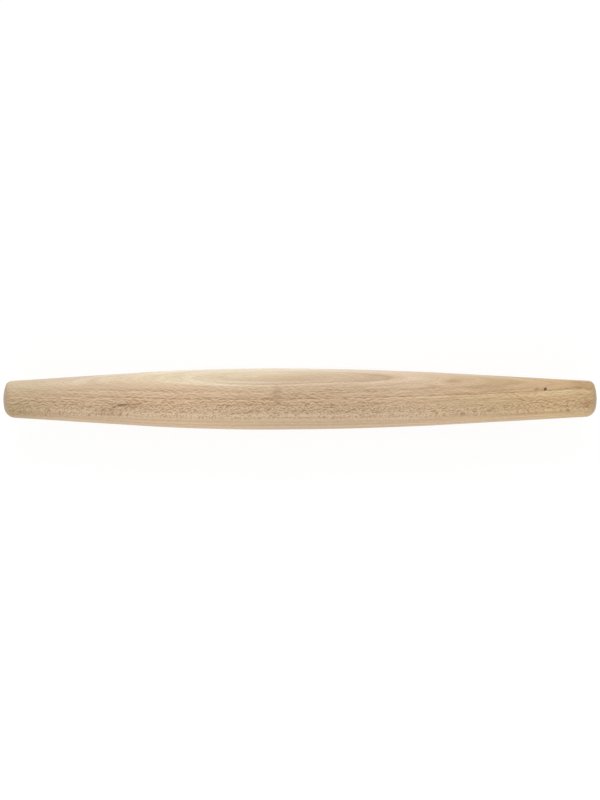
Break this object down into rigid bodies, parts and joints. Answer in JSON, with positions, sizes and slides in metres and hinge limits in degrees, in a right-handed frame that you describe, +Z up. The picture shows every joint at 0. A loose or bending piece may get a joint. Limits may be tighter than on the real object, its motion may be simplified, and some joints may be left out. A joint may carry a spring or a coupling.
{
  "type": "rolling pin",
  "caption": "Handleless tapered wooden rolling pin, turned in one piece: a crowned belly runs into straight tapers with rounded, slightly domed ends.",
  "frame": {"origin": "centre of the pin's box: on its axis, half way between the two tips", "axes": "+X along the pin's axis, towards the slimmer end that the picture shows on the right; +Z up, away from the surface the pin lies on; +Y completes the right-handed frame"},
  "size_m": [0.5, 0.0516, 0.0516],
  "materials": {
    "beech": "sanded smooth, bare or lightly oiled, satin to matt"
  },
  "bodies": {
    "root": {"rolling_pin": "beech"}
  },
  "joints": []
}
